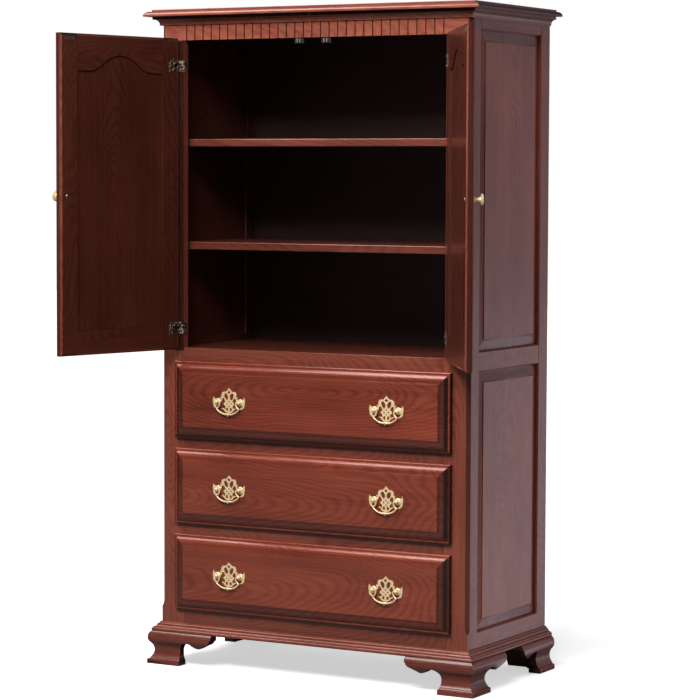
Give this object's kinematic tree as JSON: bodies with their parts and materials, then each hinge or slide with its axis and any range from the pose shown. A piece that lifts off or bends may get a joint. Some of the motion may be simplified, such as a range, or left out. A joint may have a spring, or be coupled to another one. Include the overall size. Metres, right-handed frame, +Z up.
{
  "type": "tv armoire",
  "caption": "Traditional cherry television armoire with arched doors open, a shelved bay, moulded drawers with pierced brass bail pulls, dentil crown and ogee bracket feet.",
  "frame": {"origin": "on the floor, under the middle of the whole as it stands, open doors included; the middle of the case is 70.64 mm to the left of it and 229.9 mm behind it", "axes": "+Z up; +Y to the back of the case, so the doors and drawers face -Y; +X to the right as seen from the front"},
  "size_m": [1.3178, 0.9595, 1.9255],
  "materials": {
    "cherry_wood": "satin lacquer over reddish cherry stain, grain along each board",
    "interior_wood": "thinly sealed secondary wood, matt",
    "polished_brass": "polished and lacquered",
    "zinc_steel": "zinc plated",
    "hinge_metal": "antique brass plate",
    "catch_case": "moulded brown"
  },
  "bodies": {
    "carcass": {"left_face_stile": "cherry_wood", "right_face_stile": "cherry_wood", "dentil_rail": "cherry_wood", "tv_rail": "cherry_wood", "drawer_rails": "cherry_wood", "bottom_rail": "cherry_wood", "left_side_frame": "cherry_wood", "right_side_frame": "cherry_wood", "left_side_panels": "cherry_wood", "right_side_panels": "cherry_wood", "top_board": "cherry_wood", "crown_moulding": "cherry_wood", "base_moulding": "cherry_wood", "front_left_foot": "cherry_wood", "front_right_foot": "cherry_wood", "back_left_foot": "cherry_wood", "back_right_foot": "cherry_wood", "tv_floor": "cherry_wood", "upper_shelf": "cherry_wood", "lower_shelf": "cherry_wood", "foot_glue_blocks": "interior_wood", "case_bottom": "interior_wood", "upper_back_panel": "interior_wood", "lower_back_panel": "interior_wood", "drawer_runners": "interior_wood", "shelf_pins": "zinc_steel", "magnetic_catches": "catch_case", "hinge_arms": "hinge_metal"},
    "left_door": {"left_door_stiles": "cherry_wood", "left_door_rails": "cherry_wood", "left_door_panel": "cherry_wood", "left_door_hinge_cups": "hinge_metal", "left_door_knob": "polished_brass", "left_door_knob_screw": "zinc_steel", "left_door_strike_plate": "zinc_steel"},
    "right_door": {"right_door_stiles": "cherry_wood", "right_door_rails": "cherry_wood", "right_door_panel": "cherry_wood", "right_door_hinge_cups": "hinge_metal", "right_door_knob": "polished_brass", "right_door_knob_screw": "zinc_steel", "right_door_strike_plate": "zinc_steel"},
    "top_drawer": {"top_drawer_front": "cherry_wood", "top_drawer_box": "interior_wood", "top_drawer_pull_plates": "polished_brass", "top_drawer_pull_posts": "polished_brass"},
    "top_drawer_left_bail": {"top_drawer_left_bail": "polished_brass"},
    "top_drawer_right_bail": {"top_drawer_right_bail": "polished_brass"},
    "middle_drawer": {"middle_drawer_front": "cherry_wood", "middle_drawer_box": "interior_wood", "middle_drawer_pull_plates": "polished_brass", "middle_drawer_pull_posts": "polished_brass"},
    "middle_drawer_left_bail": {"middle_drawer_left_bail": "polished_brass"},
    "middle_drawer_right_bail": {"middle_drawer_right_bail": "polished_brass"},
    "bottom_drawer": {"bottom_drawer_front": "cherry_wood", "bottom_drawer_box": "interior_wood", "bottom_drawer_pull_plates": "polished_brass", "bottom_drawer_pull_posts": "polished_brass"},
    "bottom_drawer_left_bail": {"bottom_drawer_left_bail": "polished_brass"},
    "bottom_drawer_right_bail": {"bottom_drawer_right_bail": "polished_brass"}
  },
  "joints": [
    {"name": "left_door_hinge", "type": "hinge", "parent": "carcass", "child": "left_door", "pos_m": [-0.52514, -0.0356, 1.388], "axis": [0, 0, -1], "range_deg": [-103.1, 21.9]},
    {"name": "right_door_hinge", "type": "hinge", "parent": "carcass", "child": "right_door", "pos_m": [0.38386, -0.0356, 1.388], "axis": [0, 0, 1], "range_deg": [-124, 1]},
    {"name": "top_drawer_slide", "type": "slide", "parent": "carcass", "child": "top_drawer", "axis": [0, -1, 0], "range_m": [0, 0.35]},
    {"name": "top_drawer_left_bail_swing", "type": "hinge", "parent": "top_drawer", "child": "top_drawer_left_bail", "pos_m": [-0.33064, -0.0526, 0.78725], "axis": [-1, 0, 0], "range_deg": [-4, 175]},
    {"name": "top_drawer_right_bail_swing", "type": "hinge", "parent": "top_drawer", "child": "top_drawer_right_bail", "pos_m": [0.18936, -0.0526, 0.78725], "axis": [-1, 0, 0], "range_deg": [-4, 175]},
    {"name": "middle_drawer_slide", "type": "slide", "parent": "carcass", "child": "middle_drawer", "axis": [0, -1, 0], "range_m": [0, 0.35]},
    {"name": "middle_drawer_left_bail_swing", "type": "hinge", "parent": "middle_drawer", "child": "middle_drawer_left_bail", "pos_m": [-0.33064, -0.0526, 0.5325], "axis": [-1, 0, 0], "range_deg": [-4, 175]},
    {"name": "middle_drawer_right_bail_swing", "type": "hinge", "parent": "middle_drawer", "child": "middle_drawer_right_bail", "pos_m": [0.18936, -0.0526, 0.5325], "axis": [-1, 0, 0], "range_deg": [-4, 175]},
    {"name": "bottom_drawer_slide", "type": "slide", "parent": "carcass", "child": "bottom_drawer", "axis": [0, -1, 0], "range_m": [0, 0.35]},
    {"name": "bottom_drawer_left_bail_swing", "type": "hinge", "parent": "bottom_drawer", "child": "bottom_drawer_left_bail", "pos_m": [-0.33064, -0.0526, 0.27825], "axis": [-1, 0, 0], "range_deg": [-4, 175]},
    {"name": "bottom_drawer_right_bail_swing", "type": "hinge", "parent": "bottom_drawer", "child": "bottom_drawer_right_bail", "pos_m": [0.18936, -0.0526, 0.27825], "axis": [-1, 0, 0], "range_deg": [-4, 175]}
  ]
}
